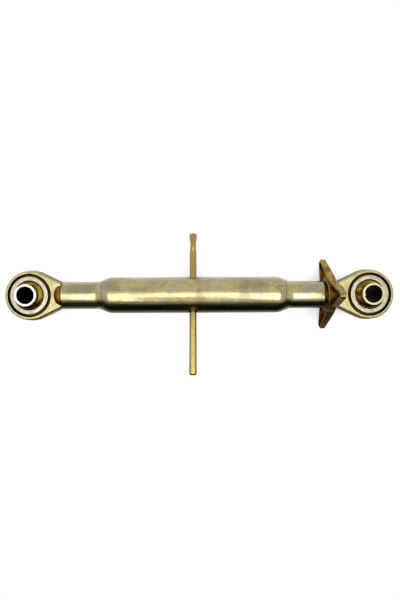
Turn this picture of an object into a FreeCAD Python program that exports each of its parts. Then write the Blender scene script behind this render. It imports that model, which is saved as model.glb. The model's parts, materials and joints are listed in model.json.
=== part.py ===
import FreeCAD, Part
import math
import os

from FreeCAD import Vector

# Tractor top link, category 1: a turnbuckle barrel draws two forged eye ends in and out, one on a
# left-hand thread and one on a right-hand thread. A winged nut locks it and a tommy bar turns it.
# Millimetres. Origin at the middle of the tractor end's ball, +X along the link to the implement end,
# +Z along the ball's cross bore. The link is shown wound fully in.

# Barrel
barrelLength = 305.0
barrelRadius = 21.2
barrelWall = 4.0
swagedWall = 4.0
tractorSwageLength = 42.0       # from the barrel's end to the corner where the shoulder starts
implementSwageLength = 39.0
shoulderRun = 12.5              # along the barrel, between the shoulder's two corners
shoulderRound = 12.0
crownRound = 20.0               # softer, where the shoulder reaches the full tube
barrelEndRound = 1.2
barrelMouthChamfer = 1.2

# Threaded shanks
shankRadius = 12.0              # outside the thread's crests
shankTipGap = 6.7               # between a shank's tip and the tommy bar
shankChamfer = 1.8
reliefRadius = 10.0             # thread run-out beside the collar
reliefLength = 3.5
threadClearance = 0.06

# Forged eyes
eyeRadius = 29.3                # at the parting line
eyeThickness = 22.0
eyeDraft = 5.0                  # degrees
eyeEdgeRound = 2.0
neckHalfWidth = 15.0            # of the flat cheeks, where they reach the collar
collarRadius = 15.8
collarDistance = 36.7           # from the eye's centre to the collar's face
collarLand = 0.6
collarEdgeRound = 0.4
noseSlope = 62.0                # degrees, at the foot of the domed nose that runs out into the flat face
noseRound = 9.0
noseLand = 0.1                  # plain collar between the nose's round and the collar's edge
flashWidth = 1.6                # trimmed flash round the parting line
flashHeight = 0.25
grooveWidth = 3.3               # staking groove round the race
grooveDepth = 3.6
grooveRound = 1.2

# Swivel ball and its race
pinBoreRadius = 9.7
ballRadius = 19.8
ballWidth = 44.0
ballCollarRadius = 12.7
ballCollarChamfer = 0.5
pinBoreChamfer = 0.5
raceWall = 2.1                  # at the seat's widest
raceProud = 1.0                 # above each face of the eye
raceLipRadius = 16.9            # mouth round the ball
raceEdgeRound = 0.8
seatClearance = 0.05

# Lock nut
nutThickness = 12.0
nutHubRadius = 21.2
nutHubHeight = 8.4              # from the bearing face to where the hub's cone starts
nutCrownRadius = 14.8           # on the face towards the eye
nutBearingRadius = 17.5
nutBearingHeight = 1.6
nutBearingRound = 0.5
wingReach = 49.0                # from the axis to a wing's tip
wingTipRadius = 4.2
wingTaper = 18.7                # degrees, each flank
wingValleyRound = 20.0
wingRootThickness = 9.8         # at the hub's outside
wingTipThickness = 6.4
wingTipDome = 2.9               # rounding of a wing's tip, seen from the side
wingTipBand = 0.15              # the dome stands this far out, so that the tip keeps a plain band
wingWeb = 2.6                   # left behind the hollow
wingRim = 2.3                   # round the hollow
wingEdgeRound = 1.2
wingCount = 3
wingTurn = 2.2                  # degrees, first wing from +Z towards -Y

# Tommy bar
barRadius = 4.1
barHoleRadius = 5.5
barHoleRound = 0.5
barSeatGap = 0.3                # between the bar and the hole's lower side
barTilt = 16.0                  # degrees, plain end raised
barPlainReach = 93.5            # from the barrel's axis
barKnobReach = 80.5
barEndChamfer = 1.0
knobLength = 5.7                # from the knob's end to where it starts to narrow
knobHalfWidth = 4.5
knobHalfDepth = 3.8
knobEndRound = 3.2
pinchDistance = 17.5            # from the knob's end to the narrowest section
pinchHalfWidth = 3.5
pinchHalfDepth = 6.2            # wider than the hole, so that it stops the bar
pinchEnd = 26.0                 # from the knob's end to the full round section

# Gaps between the pieces as they stand
collarGap = 0.3                 # tractor collar to barrel
lockGap = 3.0                   # barrel to lock nut
nutGap = 0.3                    # lock nut to implement collar

# Tolerances for finding points and edges
samePoint = 1e-6
pickMargin = 0.1

# Places along the link that follow from the sizes above
cheekEnd = collarDistance - collarLand
barrelStart = collarDistance + collarGap
barrelEnd = barrelStart + barrelLength
barrelMiddle = barrelStart + barrelLength / 2
nutStart = barrelEnd + lockGap
implementCentre = nutStart + nutThickness + nutGap + collarDistance
boreRadius = shankRadius + threadClearance
swagedRadius = boreRadius + swagedWall
seatRadius = ballRadius + seatClearance
raceRadius = seatRadius + raceWall
raceHalfWidth = eyeThickness / 2 + raceProud
barDrop = barHoleRadius - barRadius - barSeatGap

alongLink = Vector(1, 0, 0)
across = Vector(0, 1, 0)
upward = Vector(0, 0, 1)
centre = Vector(0, 0, 0)


# A closed flat face in the XZ plane through corners (x, z, rounding). Each rounding is an arc that
# touches both sides of its corner.
def roundedFace(corners):
    points = [Vector(x, 0, z) for x, z, rounding in corners]
    bends = []
    for index, point in enumerate(points):
        back = (points[index - 1] - point).normalize()
        ahead = (points[(index + 1) % len(points)] - point).normalize()
        halfAngle = back.getAngle(ahead) / 2
        rounding = corners[index][2]
        reach = rounding / math.tan(halfAngle)
        crown = rounding / math.sin(halfAngle) - rounding
        bisector = (back + ahead).normalize() if rounding else back
        bends.append((point + back * reach, point + bisector * crown, point + ahead * reach))
    edges = []
    for index, (enter, crown, leave) in enumerate(bends):
        edges.append(Part.makeLine(bends[index - 1][2], enter))
        if enter.distanceToPoint(leave) > samePoint:
            edges.append(Part.Arc(enter, crown, leave).toShape())
    return Part.Face(Part.Wire(edges))


def turnedAboutLink(corners):
    return roundedFace(corners).revolve(centre, alongLink, 360)


def turnedAboutBore(corners):
    return roundedFace(corners).revolve(centre, upward, 360)


# The plan of a forged eye: round at the origin, with flanks that leave it along tangents and reach a
# half-width at a distance in +X. An inset draws the same plan smaller.
def tangentPlan(noseRadius, baseDistance, baseHalfWidth, inset=0.0, height=0.0):
    baseAngle = math.atan2(baseHalfWidth, baseDistance)
    baseReach = math.hypot(baseDistance, baseHalfWidth)
    touchAngle = baseAngle + math.acos(noseRadius / baseReach)
    radius = noseRadius - inset
    touchX = radius * math.cos(touchAngle)
    touchY = radius * math.sin(touchAngle)
    baseY = (radius - baseDistance * math.cos(touchAngle)) / math.sin(touchAngle)
    near = Vector(touchX, -touchY, height)
    far = Vector(touchX, touchY, height)
    nearBase = Vector(baseDistance, -baseY, height)
    farBase = Vector(baseDistance, baseY, height)
    nose = Part.Arc(near, Vector(-radius, 0, height), far).toShape()
    flanks = [Part.makeLine(far, farBase), Part.makeLine(farBase, nearBase), Part.makeLine(nearBase, near)]
    return Part.Wire([nose] + flanks)


def barrelTube():
    tractorShoulder = barrelStart + tractorSwageLength
    implementShoulder = barrelEnd - implementSwageLength
    outer = turnedAboutLink([
        (barrelStart, 0, 0),
        (barrelStart, swagedRadius, barrelEndRound),
        (tractorShoulder, swagedRadius, shoulderRound),
        (tractorShoulder + shoulderRun, barrelRadius, crownRound),
        (implementShoulder - shoulderRun, barrelRadius, crownRound),
        (implementShoulder, swagedRadius, shoulderRound),
        (barrelEnd, swagedRadius, barrelEndRound),
        (barrelEnd, 0, 0),
    ])
    mouth = boreRadius + barrelMouthChamfer
    chamberRadius = barrelRadius - barrelWall
    inner = turnedAboutLink([
        (barrelStart, 0, 0),
        (barrelStart, mouth, 0),
        (barrelStart + barrelMouthChamfer, boreRadius, 0),
        (tractorShoulder, boreRadius, 0),
        (tractorShoulder + shoulderRun, chamberRadius, 0),
        (implementShoulder - shoulderRun, chamberRadius, 0),
        (implementShoulder, boreRadius, 0),
        (barrelEnd - barrelMouthChamfer, boreRadius, 0),
        (barrelEnd, mouth, 0),
        (barrelEnd, 0, 0),
    ])
    drill = Part.makeCylinder(barHoleRadius, 4 * barrelRadius, upward * -2 * barrelRadius)
    drilled = outer.cut(throughBarrel(drill))
    rims = [edge for edge in drilled.Edges if isHoleRim(edge)]
    return drilled.makeFillet(barHoleRound, rims).cut(inner)


# The two curved edges where the tommy bar's hole breaks out of the barrel.
def isHoleRim(edge):
    box = edge.BoundBox
    centred = abs(box.Center.x - barrelMiddle) < pickMargin
    return centred and abs(box.XLength - 2 * barHoleRadius) < pickMargin


# From upright on the origin to the tommy bar's way through the barrel.
def throughBarrel(shape):
    placed = shape.copy()
    placed.rotate(centre, alongLink, 90 - barTilt)
    placed.translate(alongLink * barrelMiddle)
    return placed


def eyeCheeks():
    halfThickness = eyeThickness / 2
    inset = halfThickness * math.tan(math.radians(eyeDraft))
    middle = tangentPlan(eyeRadius, cheekEnd, neckHalfWidth)
    halves = []
    for side in (1, -1):
        face = tangentPlan(eyeRadius, cheekEnd, neckHalfWidth, inset, side * halfThickness)
        half = Part.makeLoft([middle, face], True, True)
        outline = [
            edge for edge in half.Edges
            if abs(edge.BoundBox.Center.z - side * halfThickness) < pickMargin
            and edge.BoundBox.XLength > pickMargin
        ]
        halves.append(half.makeFillet(eyeEdgeRound, outline))
    return halves[0].fuse(halves[1])


# Thin line of trimmed flash round the parting line.
def eyeFlash():
    outline = tangentPlan(eyeRadius, cheekEnd, neckHalfWidth, -flashHeight, -flashWidth / 2)
    return Part.Face(outline).extrude(upward * flashWidth)


# The round neck behind the cheeks. Its domed nose comes out of both flat faces.
def eyeNose():
    slope = math.radians(noseSlope)
    corner = collarDistance - collarEdgeRound - noseRound * math.tan(slope / 2) - noseLand
    return turnedAboutLink([
        (corner - collarRadius / math.tan(slope), 0, 0),
        (corner, collarRadius, noseRound),
        (collarDistance, collarRadius, collarEdgeRound),
        (collarDistance, 0, 0),
    ])


def eyeForging():
    return eyeCheeks().fuse(eyeFlash()).fuse(eyeNose()).removeSplitter()


def threadedShank():
    tip = barrelMiddle - barRadius - shankTipGap
    start = collarDistance
    return turnedAboutLink([
        (cheekEnd, 0, 0),
        (cheekEnd, reliefRadius, 0),
        (start + reliefLength, reliefRadius, 0),
        (start + reliefLength + shankRadius - reliefRadius, shankRadius, 0),
        (tip - shankChamfer, shankRadius, 0),
        (tip, shankRadius - shankChamfer, 0),
        (tip, 0, 0),
    ])


def eyeEnd():
    face = eyeThickness / 2
    floor = face - grooveDepth
    rim = raceRadius + grooveWidth
    groove = turnedAboutBore([
        (raceRadius, floor, 0),
        (rim - grooveRound, floor, grooveRound),
        (rim, face, 0),
        (rim, face + raceProud, 0),
        (raceRadius, face + raceProud, 0),
    ])
    bore = Part.makeCylinder(raceRadius, eyeThickness * 2, upward * -eyeThickness)
    body = eyeForging().cut(bore).cut(groove).cut(groove.mirror(centre, upward))
    return body.fuse(threadedShank()).removeSplitter()


def raceRing():
    ring = turnedAboutBore([
        (raceLipRadius, -raceHalfWidth, raceEdgeRound),
        (raceRadius, -raceHalfWidth, raceEdgeRound),
        (raceRadius, raceHalfWidth, raceEdgeRound),
        (raceLipRadius, raceHalfWidth, raceEdgeRound),
    ])
    return ring.cut(Part.makeSphere(seatRadius))


def swivelBall():
    halfWidth = ballWidth / 2
    collars = turnedAboutBore([
        (0, -halfWidth, 0),
        (ballCollarRadius - ballCollarChamfer, -halfWidth, 0),
        (ballCollarRadius, -halfWidth + ballCollarChamfer, 0),
        (ballCollarRadius, halfWidth - ballCollarChamfer, 0),
        (ballCollarRadius - ballCollarChamfer, halfWidth, 0),
        (0, halfWidth, 0),
    ])
    mouth = pinBoreRadius + pinBoreChamfer
    bore = turnedAboutBore([
        (0, -halfWidth, 0),
        (mouth, -halfWidth, 0),
        (pinBoreRadius, -halfWidth + pinBoreChamfer, 0),
        (pinBoreRadius, halfWidth - pinBoreChamfer, 0),
        (mouth, halfWidth, 0),
        (0, halfWidth, 0),
    ])
    return Part.makeSphere(ballRadius).fuse(collars).cut(bore)


# A plan in corners (angle, distance from the axis, rounding), drawn across the link and drawn out
# along it by the nut's thickness. Angles run from +Z towards -Y.
def acrossLink(corners):
    plan = roundedFace([
        (distance * math.sin(math.radians(angle)), distance * math.cos(math.radians(angle)), rounding)
        for angle, distance, rounding in corners
    ])
    prism = plan.extrude(across * nutThickness)
    prism.rotate(centre, upward, -90)
    return prism


# Where a wing's flanks would meet beyond its tip, when both are moved in by an inset.
def wingApex(inset):
    return wingReach - wingTipRadius + (wingTipRadius - inset) / math.sin(math.radians(wingTaper))


def wingedPrism():
    halfPitch = 180 / wingCount
    taper = math.radians(wingTaper)
    valley = wingApex(0) * math.sin(taper) / math.sin(math.radians(halfPitch) + taper)
    corners = []
    for index in range(wingCount):
        angle = wingTurn + 2 * halfPitch * index
        corners.append((angle, wingApex(0), wingTipRadius))
        corners.append((angle + halfPitch, valley, wingValleyRound))
    return acrossLink(corners)


# The plan of one wing's hollow, from inside the hub out to the rim round the tip.
def hollowPrism(turn):
    taper = math.radians(wingTaper)
    apex = wingApex(wingRim)
    base = nutBearingRadius / 2
    halfWidth = (apex - base) * math.tan(taper)
    side = math.degrees(math.atan2(halfWidth, base))
    reach = math.hypot(halfWidth, base)
    return acrossLink([
        (turn, apex, wingTipRadius - wingRim),
        (turn + side, reach, 0),
        (turn - side, reach, 0),
    ])


# The turned space that a wing fills, between the nut's flat side and its back. The back slopes up from
# the tip to the crown. A shift moves the back, and a dome rounds the tip.
def wingSpace(shift, dome):
    back = nutBearingHeight + wingRootThickness + shift
    domeReach = wingReach + wingTipBand
    return turnedAboutLink([
        (nutBearingHeight, 0, 0),
        (nutBearingHeight, domeReach, dome),
        (nutBearingHeight + wingTipThickness + shift, domeReach, dome),
        (back, nutHubRadius, 0),
        (nutThickness + shift, nutCrownRadius, 0),
        (nutThickness + shift, 0, 0),
    ])


def nutHub():
    return turnedAboutLink([
        (0, 0, 0),
        (0, nutBearingRadius, nutBearingRound),
        (nutBearingHeight, nutBearingRadius, 0),
        (nutBearingHeight, nutHubRadius, 0),
        (nutHubHeight, nutHubRadius, wingEdgeRound),
        (nutThickness, nutCrownRadius, 0),
        (nutThickness, 0, 0),
    ])


def lockNut():
    wings = wingedPrism().common(wingSpace(0, wingTipDome))
    backs = [edge for edge in wings.Edges if isWingBack(edge)]
    wings = wings.makeFillet(wingEdgeRound, backs)
    hub = nutHub()
    for index in range(wingCount):
        hollow = hollowPrism(wingTurn + index * 360 / wingCount).common(wingSpace(-wingWeb, 0))
        wings = wings.cut(hollow)
    bore = Part.makeCylinder(boreRadius, nutThickness, centre, alongLink)
    nut = wings.fuse(hub).cut(bore)
    nut.translate(alongLink * nutStart)
    return nut


# The outline of the wings' backs, where their flanks meet the slope.
def isWingBack(edge):
    box = edge.BoundBox
    middle = edge.valueAt((edge.FirstParameter + edge.LastParameter) / 2)
    domeStart = nutBearingHeight + wingTipThickness - wingTipDome
    onBack = box.XMin > domeStart + pickMargin
    outside = math.hypot(middle.y, middle.z) > nutCrownRadius + pickMargin
    return onBack and outside and len(edge.Vertexes) == 2


def ovalSection(halfWidth, halfDepth, distance):
    stretch = FreeCAD.Matrix()
    stretch.scale(halfWidth, halfDepth, 1)
    oval = Part.Wire(Part.makeCircle(1)).transformGeometry(stretch)
    oval.translate(upward * distance)
    return Part.Wire(oval.Edges)


def tommyBar():
    knobEnd = -barKnobReach
    sections = [
        ovalSection(knobHalfWidth, knobHalfDepth, knobEnd),
        ovalSection(knobHalfWidth, knobHalfDepth, knobEnd + knobLength),
        ovalSection(pinchHalfWidth, pinchHalfDepth, knobEnd + pinchDistance),
        ovalSection(barRadius, barRadius, knobEnd + pinchEnd),
        ovalSection(barRadius, barRadius, knobEnd + pinchEnd + barRadius),
    ]
    knob = Part.makeLoft(sections, True, False)
    rim = [edge for edge in knob.Edges if edge.BoundBox.ZMax < knobEnd + pickMargin]
    knob = knob.makeFillet(knobEndRound, rim)
    start = knobEnd + pinchEnd + barRadius
    rod = turnedAboutBore([
        (0, start, 0),
        (barRadius, start, 0),
        (barRadius, barPlainReach - barEndChamfer, 0),
        (barRadius - barEndChamfer, barPlainReach, 0),
        (0, barPlainReach, 0),
    ])
    bar = throughBarrel(rod.fuse(knob))
    lower = Vector(0, -math.sin(math.radians(barTilt)), -math.cos(math.radians(barTilt)))
    bar.translate(lower * barDrop)
    return bar


# Turned end for end and moved to the implement end.
def atImplementEnd(shape):
    placed = shape.copy()
    placed.rotate(centre, upward, 180)
    placed.translate(alongLink * implementCentre)
    return placed


eye = eyeEnd()
race = raceRing()
ball = swivelBall()

nodes = {
    "barrel_tube": barrelTube(),
    "tractor_eye_end": eye,
    "implement_eye_end": atImplementEnd(eye),
    "tractor_race": race,
    "implement_race": atImplementEnd(race),
    "tractor_ball": ball,
    "implement_ball": atImplementEnd(ball),
    "lock_nut": lockNut(),
    "tommy_bar": tommyBar(),
}

os.makedirs("parts", exist_ok=True)
for name, shape in nodes.items():
    box = shape.BoundBox
    print(name, "solids", len(shape.Solids), "valid", shape.isValid(), "volume", round(shape.Volume),
          "x", round(box.XMin, 2), round(box.XMax, 2), "y", round(box.YMin, 2), round(box.YMax, 2),
          "z", round(box.ZMin, 2), round(box.ZMax, 2))
    shape.exportStep("parts/" + name + ".step")
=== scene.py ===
import json
import math

import bmesh
import bpy
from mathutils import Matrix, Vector


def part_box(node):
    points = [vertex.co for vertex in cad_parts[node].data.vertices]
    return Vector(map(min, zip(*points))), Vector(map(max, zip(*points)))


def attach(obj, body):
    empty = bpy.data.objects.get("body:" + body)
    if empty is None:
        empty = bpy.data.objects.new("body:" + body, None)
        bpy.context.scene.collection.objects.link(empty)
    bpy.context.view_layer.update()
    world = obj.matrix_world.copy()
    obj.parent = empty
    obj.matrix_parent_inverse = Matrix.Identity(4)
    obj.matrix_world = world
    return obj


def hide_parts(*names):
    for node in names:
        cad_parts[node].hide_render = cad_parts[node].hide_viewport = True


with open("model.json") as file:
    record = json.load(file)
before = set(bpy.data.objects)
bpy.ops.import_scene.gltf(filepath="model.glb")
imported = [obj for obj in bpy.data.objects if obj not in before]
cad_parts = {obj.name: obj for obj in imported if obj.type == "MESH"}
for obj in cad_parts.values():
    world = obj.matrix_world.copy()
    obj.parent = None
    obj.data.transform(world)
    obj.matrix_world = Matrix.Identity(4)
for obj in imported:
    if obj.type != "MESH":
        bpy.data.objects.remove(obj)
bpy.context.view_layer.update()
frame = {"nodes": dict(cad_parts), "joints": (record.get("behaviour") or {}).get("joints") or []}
cad = frame["nodes"]
scene = bpy.context.scene


def pivot(joint):
    found = [j for j in frame["joints"] if j["name"] == joint]
    return Vector(found[0]["pos_m"])


tractorEye = pivot("tractor_ball_swivel")
implementEye = pivot("implement_ball_swivel")
barrelLow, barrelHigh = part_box("barrel_tube")


# one output of a shader node, so that materials can be written as sums
class Wire:
    def __init__(self, finish, socket):
        self.finish = finish
        self.socket = socket

    def __add__(self, other):
        return self.finish.math("ADD", self, other)

    def __radd__(self, other):
        return self.finish.math("ADD", other, self)

    def __sub__(self, other):
        return self.finish.math("SUBTRACT", self, other)

    def __rsub__(self, other):
        return self.finish.math("SUBTRACT", other, self)

    def __mul__(self, other):
        return self.finish.math("MULTIPLY", self, other)

    def __rmul__(self, other):
        return self.finish.math("MULTIPLY", other, self)

    def __truediv__(self, other):
        return self.finish.math("DIVIDE", self, other)


# builds the nodes of a material or of the world
class Finish:
    def __init__(self, holder):
        self.holder = holder
        holder.use_nodes = True
        self.tree = holder.node_tree
        self.tree.nodes.clear()

    # any node: its type, its settings, then its sockets' values or links
    def node(self, kind, settings=None, sockets=None, out=0):
        made = self.tree.nodes.new(kind)
        for key, value in (settings or {}).items():
            setattr(made, key, value)
        for key, value in (sockets or {}).items():
            if isinstance(value, Wire):
                self.tree.links.new(value.socket, made.inputs[key])
            else:
                made.inputs[key].default_value = value
        return Wire(self, made.outputs[out]) if made.outputs else None

    def math(self, operation, a, b=0.0):
        return self.node("ShaderNodeMath", {"operation": operation}, {0: a, 1: b})

    def clamp(self, value):
        return self.node("ShaderNodeMath", {"operation": "ADD", "use_clamp": True}, {0: value, 1: 0.0})

    # 0 below low, 1 above high, smooth between
    def step(self, value, low, high):
        return self.node("ShaderNodeMapRange", {"interpolation_type": "SMOOTHSTEP"},
                         {0: value, 1: low, 2: high, 3: 0.0, 4: 1.0})

    # 1 at the middle, 0 at the width on either side of it
    def band(self, value, middle, width):
        return 1 - self.step(self.math("ABSOLUTE", value - middle), 0.0, width)

    # 1 between low and high, with soft ends
    def within(self, value, low, high, soft):
        return self.step(value, low - soft, low + soft) * (1 - self.step(value, high - soft, high + soft))

    def blend(self, factor, a, b, mode="MIX"):
        return self.node("ShaderNodeMix", {"data_type": "RGBA", "blend_type": mode},
                         {0: factor, 6: a, 7: b}, out=2)

    # lighter and darker by a value around 1
    def tone(self, colour, amount):
        return self.blend(1.0, colour, amount, "MULTIPLY")

    def place(self):
        return self.node("ShaderNodeTexCoord", out=3)

    def facing(self):
        return self.split(self.node("ShaderNodeTexCoord", out=1))

    def split(self, vector):
        made = self.node("ShaderNodeSeparateXYZ", None, {0: vector}).socket.node
        return [Wire(self, made.outputs[i]) for i in range(3)]

    def join(self, x, y, z):
        return self.node("ShaderNodeCombineXYZ", None, {0: x, 1: y, 2: z})

    def stretched(self, place, scale):
        return self.node("ShaderNodeVectorMath", {"operation": "MULTIPLY"}, {0: place, 1: scale})

    def reach(self, a, b):
        return self.math("SQRT", a * a + b * b)

    def noise(self, place, scale, detail=4.0, rough=0.55, warp=0.0):
        sockets = {"Vector": place, "Scale": scale, "Detail": detail, "Roughness": rough, "Distortion": warp}
        return self.node("ShaderNodeTexNoise", None, sockets)

    # small round pits, 1 inside a pit
    def pits(self, place, scale, size):
        cell = self.node("ShaderNodeTexVoronoi", None, {"Vector": place, "Scale": scale, "Randomness": 1.0})
        return 1 - self.step(cell, size * 0.5, size)

    def bump(self, height, distance):
        return self.node("ShaderNodeBump", None, {"Height": height, "Distance": distance})

    # colour, roughness and normal may vary, the rest are plain numbers
    def metal(self, colour, roughness, normal, **constants):
        sockets = {"Base Color": colour, "Roughness": roughness, "Normal": normal, "Metallic": 1.0}
        for key, value in constants.items():
            sockets[key.replace("_", " ")] = value
        shader = self.node("ShaderNodeBsdfPrincipled", None, sockets)
        self.node("ShaderNodeOutputMaterial", None, {"Surface": shader})
        return self.holder


# a colour given as 0 to 255, turned into the linear values that the nodes take
def shade(red, green, blue):
    def linear(value):
        part = value / 255
        return part / 12.92 if part <= 0.04045 else ((part + 0.055) / 1.055) ** 2.4
    return (linear(red), linear(green), linear(blue), 1.0)


def newFinish(name):
    return Finish(bpy.data.materials.new(name))


def dress(node, material):
    cad[node].material_slots[0].material = material


# barrel: drawn tube, zinc plated with a yellow passivation that has worn in streaks
barrelLook = {
    "straw": shade(174, 160, 108),
    "olive": shade(140, 131, 88),
    "amber": shade(148, 118, 58),
    "rimReflection": shade(132, 88, 22),
    "slate": shade(134, 137, 132),
    "pale": shade(204, 200, 176),
    "creaseShade": shade(46, 42, 34),
    "roughness": 0.23,
    "shoulders": ((0.0850, -1), (0.2965, 1)),    # where the dies stopped, and the way to the swaged end
    "dieLine": 0.0007,
    "dieLand": 0.0050,
    "colderFrom": 0.20,           # along the link, where the grey clouds grow stronger
    "colderTo": 0.29,
    "specksFrom": 0.088,          # along the link, a patch of grey specks
    "specksTo": 0.106,
    "relief": 0.00016,
    "coatRoughness": 0.12,
}


def barrelZinc():
    look = barrelLook
    f = newFinish("barrel_zinc")
    place = f.place()
    x = f.split(place)[0]
    streaks = f.noise(f.stretched(place, (12.0, 380.0, 380.0)), 1.0, 4.0, 0.6)
    hair = f.noise(f.stretched(place, (260.0, 1700.0, 1700.0)), 1.0, 3.0, 0.6)
    blotches = f.noise(place, 34.0, 4.0, 0.6, 0.8)
    mottles = f.noise(place, 150.0, 4.0, 0.62, 0.5)
    clouds = f.noise(place, 52.0, 3.0, 0.5, 0.3)
    colour = f.blend(f.step(blotches, 0.40, 0.62), look["straw"], look["olive"])
    colour = f.blend(f.step(mottles, 0.52, 0.70) * 0.60, colour, look["amber"])
    colder = 0.35 + 0.65 * f.step(x, look["colderFrom"], look["colderTo"])
    colour = f.blend(f.step(clouds, 0.46, 0.66) * colder * 0.85, colour, look["slate"])
    colour = f.blend(f.step(streaks, 0.54, 0.72) * 0.55, colour, look["pale"])
    ny = f.facing()[1]
    # painted reflection: the side facing -Y is tinted orange-brown as the floor's reflection along the tube's
    # lower rim
    colour = f.blend(f.step(-1 * ny, 0.78, 0.96) * 0.85, colour, look["rimReflection"])
    lines = None
    for middle, outward in look["shoulders"]:
        line = f.band(x, middle, look["dieLine"])
        # painted sheen: a paler band on the shoulder beside each die line, where the tilted shoulder reflects
        # more light
        shoulderSheen = f.band(x, middle + outward * look["dieLand"], look["dieLand"])
        colour = f.blend(shoulderSheen * 0.5, colour, look["straw"])
        # painted shade: a dark line along the crease where the dies stopped
        colour = f.blend(line * 0.8, colour, look["creaseShade"])
        lines = line if lines is None else lines + line
    specks = f.pits(place, 420.0, 0.30) * f.within(x, look["specksFrom"], look["specksTo"], 0.004)
    colour = f.blend(specks * 0.6, colour, look["slate"])
    colour = f.tone(colour, 0.72 + hair * 0.56)
    roughness = look["roughness"] + (streaks - 0.5) * 0.30 + (hair - 0.5) * 0.20 + (blotches - 0.5) * 0.15
    height = streaks * 0.5 + hair * 0.25 + mottles * 0.5 - lines * 0.8
    normal = f.bump(height, look["relief"])
    return f.metal(colour, f.clamp(roughness), normal, Coat_Weight=1.0, Coat_Roughness=look["coatRoughness"])


# forged eyes: grainy faces, trimmed flanks, a dark domed nose and a staking groove round the race
eyeLook = {
    "cream": shade(172, 162, 118),
    "khaki": shade(150, 140, 98),
    "highlightCream": shade(190, 184, 132),
    "wall": shade(120, 110, 66),
    "grooveGold": shade(128, 88, 26),
    "noseGold": shade(116, 86, 40),
    "orange": shade(126, 88, 34),
    "black": shade(20, 17, 11),
    "threadGold": shade(158, 138, 84),
    "roughness": 0.40,
    "grooveInner": 0.0219,
    "grooveOuter": 0.0253,
    "grooveRim": (0.0104, 0.0109),   # heights between which the groove's gold ends
    "grooveFloor": (0.0072, 0.0098),
    "faceHeight": 0.0109,            # of the flat faces; the nose stands above it
    "noseEdge": (0.0002, 0.0005),    # above the flat faces
    "noseReach": 0.0225,
    "noseSoft": 0.002,
    "shankStart": 0.0390,
    "stripePitch": 0.0023,
    "stripeFrom": 0.0140,
    "stripeTo": 0.0360,
    "stripeLean": 0.45,
    "stripeWander": 0.0012,
    "lowerFlank": (0.012, 0.015),    # from the link's axis
    "threadDepth": (0.0106, 0.0117),
    "relief": 0.00016,
}


def eyeZinc(name, centre, side, wornEdge):
    look = eyeLook
    f = newFinish(name)
    place = f.place()
    x, y, z = f.split(place)
    nz = f.facing()[2]
    along = (x - centre.x) * side                 # from the eye's centre towards its shank
    radius = f.reach(along, y)
    height = f.math("ABSOLUTE", z)
    upright = f.math("ABSOLUTE", nz)
    flat = f.step(upright, 0.90, 0.985)
    wall = 1 - f.step(upright, 0.30, 0.60)
    grain = f.noise(place, 1300.0, 3.0, 0.6)
    patches = f.noise(place, 130.0, 4.0, 0.6, 0.4)
    broad = f.noise(place, 45.0, 3.0, 0.5)
    colour = f.blend(f.step(patches, 0.38, 0.66), look["cream"], look["khaki"])
    # painted highlight: the rounded outer edge beyond the groove is lightened as if catching the light
    edgeHighlight = (1 - flat) * (1 - wall) * f.step(radius, look["grooveOuter"], look["grooveOuter"] + 0.001)
    colour = f.blend(edgeHighlight * 0.8, colour, look["highlightCream"])
    colour = f.blend(wall * 0.9, colour, look["wall"])
    # tool marks across the trimmed flank, on the lower flank only; their cream and black are painted
    # highlight and painted shade of the marks' ridges
    wander = along + z * look["stripeLean"] + patches * look["stripeWander"]
    stripes = f.math("SINE", wander * (2 * math.pi / look["stripePitch"]))
    striped = f.within(along, look["stripeFrom"], look["stripeTo"], 0.001)
    flank = wall * striped * f.step(-1 * y, *look["lowerFlank"])
    colour = f.blend(flank * f.step(stripes, -0.2, 0.3), colour, look["highlightCream"])
    colour = f.blend(flank * (1 - f.step(stripes, -0.3, 0.1)), colour, look["black"])
    ring = f.within(radius, look["grooveInner"], look["grooveOuter"], 0.0002)
    groove = ring * (1 - f.step(height, *look["grooveRim"]))
    colour = f.blend(groove, colour, look["grooveGold"])
    # painted shade: the groove turns black towards its floor
    colour = f.blend(groove * (1 - f.step(height, *look["grooveFloor"])) * 0.75, colour, look["black"])
    noseLow, noseHigh = (look["faceHeight"] + edge for edge in look["noseEdge"])
    towardsShank = f.step(along, look["noseReach"], look["noseReach"] + look["noseSoft"])
    nose = f.step(height, noseLow, noseHigh) * towardsShank
    colour = f.blend(nose, colour, look["noseGold"])
    colour = f.blend(nose * f.step(patches, 0.45, 0.60) * 0.5, colour, look["orange"])
    shank = f.step(along, look["shankStart"], look["shankStart"] + 0.001)
    colour = f.blend(shank, colour, look["threadGold"])
    # painted shade: the thread's roots are darkened towards black
    crest = f.step(f.reach(y, z), *look["threadDepth"])
    colour = f.blend(shank * (1 - crest) * 0.7, colour, look["black"])
    pits = f.pits(place, 330.0, 0.20) * f.step(broad, 0.47, 0.60) * wornEdge
    colour = f.blend(pits * flat * 0.7, colour, look["noseGold"])
    colour = f.tone(colour, 0.74 + grain * 0.52)
    roughness = look["roughness"] + (grain - 0.5) * 0.25 - shank * 0.08 - nose * 0.08
    relief = grain * 0.5 + patches * 0.6 - pits * 0.9 + flank * stripes * 0.8
    return f.metal(colour, f.clamp(roughness), f.bump(relief, look["relief"]))


# races: turned and pressed in, with fine marks running round
raceLook = {
    "white": shade(172, 170, 150),
    "rose": shade(138, 128, 118),
    "lime": shade(146, 150, 104),
    "mouth": shade(58, 48, 28),
    "roughness": 0.30,
    "lip": 0.0177,
    "outer": 0.0212,
    "mouthHeight": (0.0106, 0.0114),
    "relief": 0.00010,
}


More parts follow.
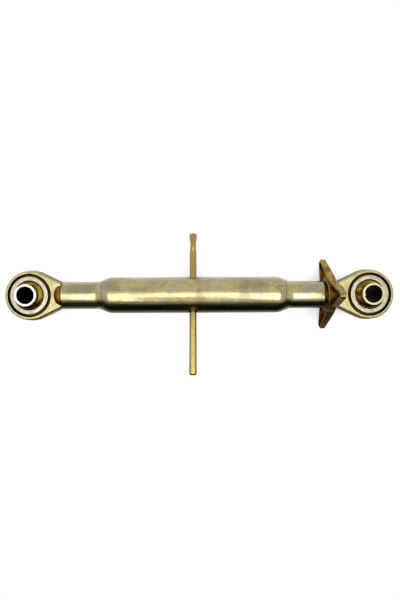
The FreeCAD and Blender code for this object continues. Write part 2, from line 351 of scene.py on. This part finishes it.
def raceSteel(name, centre):
    look = raceLook
    f = newFinish(name)
    place = f.place()
    x, y, z = f.split(place)
    away = x - centre.x
    radius = f.reach(away, y)
    around = f.join(away / radius * 2.2, y / radius * 2.2, radius * 2600.0)
    turned = f.noise(around, 1.0, 3.0, 0.6)
    grain = f.noise(place, 1100.0, 3.0, 0.6)
    patches = f.noise(f.join(away / radius * 3.0, y / radius * 3.0, radius * 500.0), 1.0, 2.0, 0.5)
    middle = f.within(radius, look["lip"], look["outer"], 0.0005)
    colour = f.blend(middle * f.step(patches, 0.35, 0.62) * 0.9, look["white"], look["rose"])
    colour = f.blend(f.step(turned, 0.52, 0.66) * middle * 0.6, colour, look["lime"])
    # painted shade: the race's inner mouth round the ball is painted dark brown
    inside = 1 - f.step(f.math("ABSOLUTE", z), *look["mouthHeight"])
    colour = f.blend(inside, colour, look["mouth"])
    colour = f.tone(colour, 0.76 + grain * 0.48)
    roughness = look["roughness"] + (turned - 0.5) * 0.30 + (grain - 0.5) * 0.15
    return f.metal(colour, f.clamp(roughness), f.bump(turned * 0.8 + grain * 0.3, look["relief"]))


# swivel balls: brown-gold sphere, pale turned ends and a bore painted near black as shade
ballLook = {
    "gold": shade(178, 152, 70),
    "brown": shade(120, 84, 18),
    "stain": shade(44, 30, 8),
    "collar": shade(150, 132, 86),
    "bore": shade(22, 20, 17),
    "roughness": 0.26,
    "faceStart": 0.0216,
    "boreRadius": 0.0099,
    "collarRadius": 0.0131,
    "collarStart": 0.0152,
    "edgeSoft": 0.0002,
    "relief": 0.00008,
}


def ballSteel(name, centre, faceColour):
    look = ballLook
    f = newFinish(name)
    place = f.place()
    x, y, z = f.split(place)
    away = x - centre.x
    radius = f.reach(away, y)
    height = f.math("ABSOLUTE", z)
    blotches = f.noise(place, 120.0, 4.0, 0.6, 0.8)
    stains = f.noise(place, 210.0, 3.0, 0.6, 0.4)
    grain = f.noise(place, 1200.0, 3.0, 0.6)
    colour = f.blend(f.step(blotches, 0.38, 0.60), look["gold"], look["brown"])
    colour = f.blend(f.step(stains, 0.58, 0.68) * 0.8, colour, look["stain"])
    onCollar = 1 - f.step(radius, look["collarRadius"] - look["edgeSoft"], look["collarRadius"])
    collar = onCollar * f.step(height, look["collarStart"], look["collarStart"] + 0.0005)
    colour = f.blend(collar, colour, look["collar"])
    face = f.step(height, look["faceStart"], look["faceStart"] + 0.0003)
    colour = f.blend(face, colour, faceColour)
    # painted shade: the bore's wall is painted near black
    bore = 1 - f.step(radius, look["boreRadius"] - look["edgeSoft"], look["boreRadius"])
    colour = f.blend(bore, colour, look["bore"])
    colour = f.tone(colour, 0.78 + grain * 0.44)
    roughness = look["roughness"] + (grain - 0.5) * 0.2 + (blotches - 0.5) * 0.2
    return f.metal(colour, f.clamp(roughness), f.bump(grain * 0.4 + stains * 0.5, look["relief"]))


# lock nut: a rough casting, with painted shade darkening its hollows towards black
nutLook = {
    "gold": shade(174, 144, 70),
    "brown": shade(124, 94, 36),
    "rust": shade(132, 88, 20),
    "bright": shade(188, 168, 104),
    "black": shade(24, 19, 6),
    "roughness": 0.36,
    "hollowReach": 0.010,
    "wingTips": (0.040, 0.047),   # from the axis, where the wings are rubbed smoother
    "relief": 0.0005,
}


def nutZinc():
    look = nutLook
    f = newFinish("nut_zinc")
    place = f.place()
    y, z = f.split(place)[1:]
    reach = f.reach(y, z)
    blotches = f.noise(place, 95.0, 4.0, 0.62, 0.8)
    mottles = f.noise(place, 330.0, 4.0, 0.6, 0.4)
    grain = f.noise(place, 1100.0, 3.0, 0.6)
    colour = f.blend(f.step(blotches, 0.40, 0.62), look["gold"], look["brown"])
    colour = f.blend(f.step(mottles, 0.52, 0.66) * 0.7, colour, look["rust"])
    ridge = f.node("ShaderNodeNewGeometry", out=7)
    colour = f.blend(f.step(ridge, 0.52, 0.62) * 0.6, colour, look["bright"])
    # painted shade: where ambient occlusion finds the nut closed in, its colour goes towards black
    hollowShade = f.node("ShaderNodeAmbientOcclusion", {"samples": 8}, {"Distance": look["hollowReach"]}, out=1)
    colour = f.blend((1 - f.step(hollowShade, 0.25, 0.75)) * 0.85, colour, look["black"])
    colour = f.tone(colour, 0.72 + grain * 0.56)
    rubbed = f.step(reach, *look["wingTips"])
    roughness = look["roughness"] + (mottles - 0.5) * 0.3 + (grain - 0.5) * 0.2 - rubbed * 0.08
    relief = mottles * 0.7 + grain * 0.35 + blotches * 0.8
    return f.metal(colour, f.clamp(roughness), f.bump(relief, look["relief"]))


# tommy bar: plated round bar, browner towards its knob, orange along both sides as a painted reflection, and
# its plain end painted black as shade
barLook = {
    "khaki": shade(158, 142, 84),
    "lemon": shade(204, 192, 108),
    "orange": shade(168, 116, 22),
    "grey": shade(150, 140, 128),
    "black": shade(16, 14, 10),
    "roughness": 0.27,
    "lean": (0.0, -0.9612617, 0.2756374),       # along the bar, towards its plain end
    "plainReach": 0.0925,
    "lemonFrom": 0.010,           # along the bar, where it turns from khaki to lemon
    "lemonTo": 0.045,
    "endSoft": 0.0004,
    "relief": 0.00008,
}


def barZinc():
    look = barLook
    f = newFinish("bar_zinc")
    place = f.place()
    x, y, z = f.split(place)
    nx = f.facing()[0]
    lean = look["lean"]
    along = y * lean[1] + z * lean[2]
    middle = (barrelLow.x + barrelHigh.x) / 2
    streaks = f.noise(f.join((x - middle) * 900.0, along * 22.0, z * 40.0), 1.0, 4.0, 0.6)
    patches = f.noise(place, 110.0, 4.0, 0.6, 0.5)
    grain = f.noise(place, 1200.0, 3.0, 0.6)
    colour = f.blend(f.step(along, look["lemonFrom"], look["lemonTo"]), look["khaki"], look["lemon"])
    colour = f.blend(f.step(streaks, 0.52, 0.70) * 0.55, colour, look["grey"])
    # painted reflection: the bar's sides, seen at a glancing angle, are tinted orange
    sideReflection = f.step(f.math("ABSOLUTE", nx), 0.45, 0.80)
    colour = f.blend(sideReflection * 0.75, colour, look["orange"])
    colour = f.blend(f.step(patches, 0.56, 0.70) * 0.35, colour, look["orange"])
    # painted shade: the plain cut end is painted black
    end = f.step(along, look["plainReach"], look["plainReach"] + look["endSoft"])
    colour = f.blend(end, colour, look["black"])
    colour = f.tone(colour, 0.76 + grain * 0.48)
    roughness = look["roughness"] + (streaks - 0.5) * 0.25 + (grain - 0.5) * 0.15
    return f.metal(colour, f.clamp(roughness), f.bump(streaks * 0.5 + grain * 0.3, look["relief"]))


# threads: the eyes' plain shanks are drawn again with their threads cut
threadLook = {
    "pitch": 0.003,
    "crest": 0.01195,
    "root": 0.01032,
    "crestShare": 0.18,            # of the pitch, left flat on top and at the bottom
    "rootShare": 0.22,
    "cutFrom": 0.0402,             # from the eye's centre to where the run-out groove ends
    "overlap": 0.0006,
    "grooveRadius": 0.00995,
    "chamfer": 0.0018,
    "leadIn": 0.0020,
    "leadInRise": 0.002,
    "weld": 1e-6,
    "segments": 48,
}


# the thread as one closed skin: rows that follow the helix, cut off at the shank's two ends
def addThread(mesh, centre, side, end, hand):
    look = threadLook
    pitch = look["pitch"]
    start = look["cutFrom"] - look["overlap"]
    flankShare = (1 - look["crestShare"] - look["rootShare"]) / 2
    profile = [
        (0.0, look["root"]),
        (look["rootShare"], look["root"]),
        (look["rootShare"] + flankShare, look["crest"]),
        (look["rootShare"] + flankShare + look["crestShare"], look["crest"]),
    ]
    segments = look["segments"]

    def envelope(reach):
        grown = look["grooveRadius"] + max(0.0, reach - look["cutFrom"]) / look["leadIn"] * look["leadInRise"]
        pointed = look["crest"] - max(0.0, reach - (end - look["chamfer"]))
        return min(grown, pointed)

    rows = []
    turns = int((end - start) / pitch) + 2
    for turn in range(-1, turns):
        for share, radius in profile:
            row = []
            for step in range(segments + 1):
                reach = start + (turn + share + step / segments) * pitch
                reach = min(max(reach, start), end)
                size = min(radius, envelope(reach))
                angle = hand * side * 2 * math.pi * step / segments
                row.append((centre.x + side * reach, size * math.cos(angle), size * math.sin(angle)))
            rows.append(row)
    tips = []
    for reach in (start, end):
        tips.append(mesh.verts.new((centre.x + side * reach, 0.0, 0.0)))
    grid = [[mesh.verts.new(point) for point in row] for row in rows]
    made = []
    for low, high in zip(grid, grid[1:]):
        for step in range(segments):
            made.append(mesh.faces.new((low[step], low[step + 1], high[step + 1], high[step])))
    for tip, row in ((tips[0], grid[0]), (tips[1], grid[-1])):
        for step in range(segments):
            made.append(mesh.faces.new((tip, row[step + 1], row[step])))
    bmesh.ops.remove_doubles(mesh, verts=[v for row in grid for v in row] + tips, dist=look["weld"])
    made = [face for face in made if face.is_valid]
    bmesh.ops.recalc_face_normals(mesh, faces=made)
    for face in made:
        face.smooth = False


def threadedEye(name, node, body, centre, side, hand, material):
    look = threadLook
    low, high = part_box(node)
    tipReach = max((low.x - centre.x) * side, (high.x - centre.x) * side)
    shape = cad[node].data.copy()
    shape.name = name
    mesh = bmesh.new()
    mesh.from_mesh(shape)
    # the plain shank goes: faces that start at the run-out groove's end and reach beyond it
    margin = look["overlap"] / 4
    plain = []
    for face in mesh.faces:
        reaches = [(v.co.x - centre.x) * side for v in face.verts]
        if min(reaches) > look["cutFrom"] - margin and max(reaches) > look["cutFrom"] + margin:
            plain.append(face)
    bmesh.ops.delete(mesh, geom=plain, context="FACES")
    addThread(mesh, centre, side, tipReach, hand)
    mesh.to_mesh(shape)
    mesh.free()
    shape.materials.clear()
    shape.materials.append(material)
    eye = bpy.data.objects.new(name, shape)
    scene.collection.objects.link(eye)
    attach(eye, body)
    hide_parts(node)


print("metals")
dress("barrel_tube", barrelZinc())
tractorForging = eyeZinc("tractor_forging_zinc", tractorEye, 1, 0.2)
implementForging = eyeZinc("implement_forging_zinc", implementEye, -1, 1.0)
dress("tractor_race", raceSteel("tractor_race_steel", tractorEye))
dress("implement_race", raceSteel("implement_race_steel", implementEye))
# the two balls are alike: the tractor ball's whiter face colour is partly the pale turned steel and partly a
# painted highlight
dress("tractor_ball", ballSteel("tractor_ball_steel", tractorEye, shade(214, 213, 204)))
dress("implement_ball", ballSteel("implement_ball_steel", implementEye, shade(186, 179, 136)))
dress("lock_nut", nutZinc())
dress("tommy_bar", barZinc())

print("threads")
threadedEye("tractor_threaded_eye", "tractor_eye_end", "tractor_end",
            tractorEye, 1, -1, tractorForging)
threadedEye("implement_threaded_eye", "implement_eye_end", "implement_end",
            implementEye, -1, 1, implementForging)


studio = {
    "cameraPlace": Vector((0.1977, -0.00605, 0.450)),
    "cameraTurn": -0.24,          # degrees
    "lens": 22.75,
    "nearest": 0.01,
    "farthest": 20,
    "floorHeight": -0.0223,       # under the tractor end's ball
    "floorFall": (-0.01776, -0.00813),
    "floorSize": 6.0,
    "floorTone": (0.8, 0.8, 0.8, 1.0),
    "contactReach": 0.05,
    "blackCard": (-0.105, -0.060),       # the floor beyond this is dark in the metal, not to the eye
    "cardDim": 0.25,              # of the floor's light, left in the metal where the dark begins
    "eyeContact": (0.05, 0.45),          # openness where the contact shadow starts, and its spread
    "metalContact": (0.30, 0.50),
    "skyDiffuse": 0.6,
    "flag": (26.0, 68.0),         # degrees down from overhead, where the side wall turns from white to black
    "boxHeight": 1.0,
    # each softbox: middle along the link, middle across, length, depth, radiance
    "boxes": (
        (-0.24, -0.26, 0.34, 0.95, 3.6),
        (0.20, -0.01, 0.56, 0.42, 2.4),
        (0.58, -0.22, 0.34, 0.80, 3.4),
    ),
}


def seenRays(f):
    rays = f.node("ShaderNodeLightPath").socket.node.outputs
    glossy = Wire(f, rays["Is Glossy Ray"])
    return glossy, f.clamp(Wire(f, rays["Is Camera Ray"]) + glossy + Wire(f, rays["Is Transmission Ray"]))


def makeFloor():
    half = studio["floorSize"] / 2
    fallX, fallY = studio["floorFall"]
    corners = ((-half, -half), (half, -half), (half, half), (-half, half))
    points = [(x, y, studio["floorHeight"] + fallX * x + fallY * y) for x, y in corners]
    mesh = bpy.data.meshes.new("floor")
    mesh.from_pydata(points, [], [(0, 1, 2, 3)])
    floor = bpy.data.objects.new("floor", mesh)
    scene.collection.objects.link(floor)
    f = newFinish("floor_card")
    glossy, seen = seenRays(f)
    y = f.split(f.place())[1]
    reach = {"Distance": studio["contactReach"]}
    openness = f.node("ShaderNodeAmbientOcclusion", {"samples": 16}, reach, out=1)
    closed, spread = studio["eyeContact"]
    toEye = f.clamp((openness - closed) / spread)
    far, near = studio["blackCard"]
    beside = f.step(y, far, near) * (1 - (1 - f.step(y, near, 0.0)) * (1 - studio["cardDim"]))
    closed, spread = studio["metalContact"]
    toMetal = f.clamp((openness - closed) / spread) * beside
    level = toEye * (1 - glossy) + toMetal * glossy
    white = f.node("ShaderNodeEmission", None, {"Strength": level})
    card = f.node("ShaderNodeBsdfDiffuse", None, {"Color": studio["floorTone"]})
    mixed = f.node("ShaderNodeMixShader", None, {0: seen, 1: card, 2: white})
    f.node("ShaderNodeOutputMaterial", None, {"Surface": mixed})
    mesh.materials.append(f.holder)


# a white room with one dark side wall, which only polished metal shows
def makeSky():
    world = bpy.data.worlds.new("room")
    scene.world = world
    f = Finish(world)
    glossy, seen = seenRays(f)
    y, z = f.split(f.node("ShaderNodeTexCoord", out=0))[1:]
    down = f.math("ARCTAN2", -1 * y, z)
    start, end = (math.radians(angle) for angle in studio["flag"])
    wall = f.step(down, start, end) * glossy
    level = studio["skyDiffuse"] * (1 - seen) + seen * (1 - wall)
    shader = f.node("ShaderNodeBackground", None, {"Strength": level, "Color": (1, 1, 1, 1)})
    f.node("ShaderNodeOutputWorld", None, {"Surface": shader})


def makeLamps():
    for index, (middle, across, length, depth, radiance) in enumerate(studio["boxes"]):
        lamp = bpy.data.lights.new("softbox", "AREA")
        lamp.shape = "RECTANGLE"
        lamp.size = length
        lamp.size_y = depth
        lamp.energy = radiance * math.pi * length * depth
        box = bpy.data.objects.new("softbox%d" % index, lamp)
        box.location = (middle, across, studio["boxHeight"])
        box.visible_camera = False
        scene.collection.objects.link(box)


def makeCamera():
    data = bpy.data.cameras.new("camera")
    data.lens = studio["lens"]
    data.clip_start = studio["nearest"]
    data.clip_end = studio["farthest"]
    camera = bpy.data.objects.new("camera", data)
    camera.location = studio["cameraPlace"]
    camera.rotation_euler = (0, 0, math.radians(studio["cameraTurn"]))
    scene.collection.objects.link(camera)
    scene.camera = camera


print("studio")
makeFloor()
makeSky()
makeLamps()
makeCamera()
scene.view_settings.view_transform = "Standard"
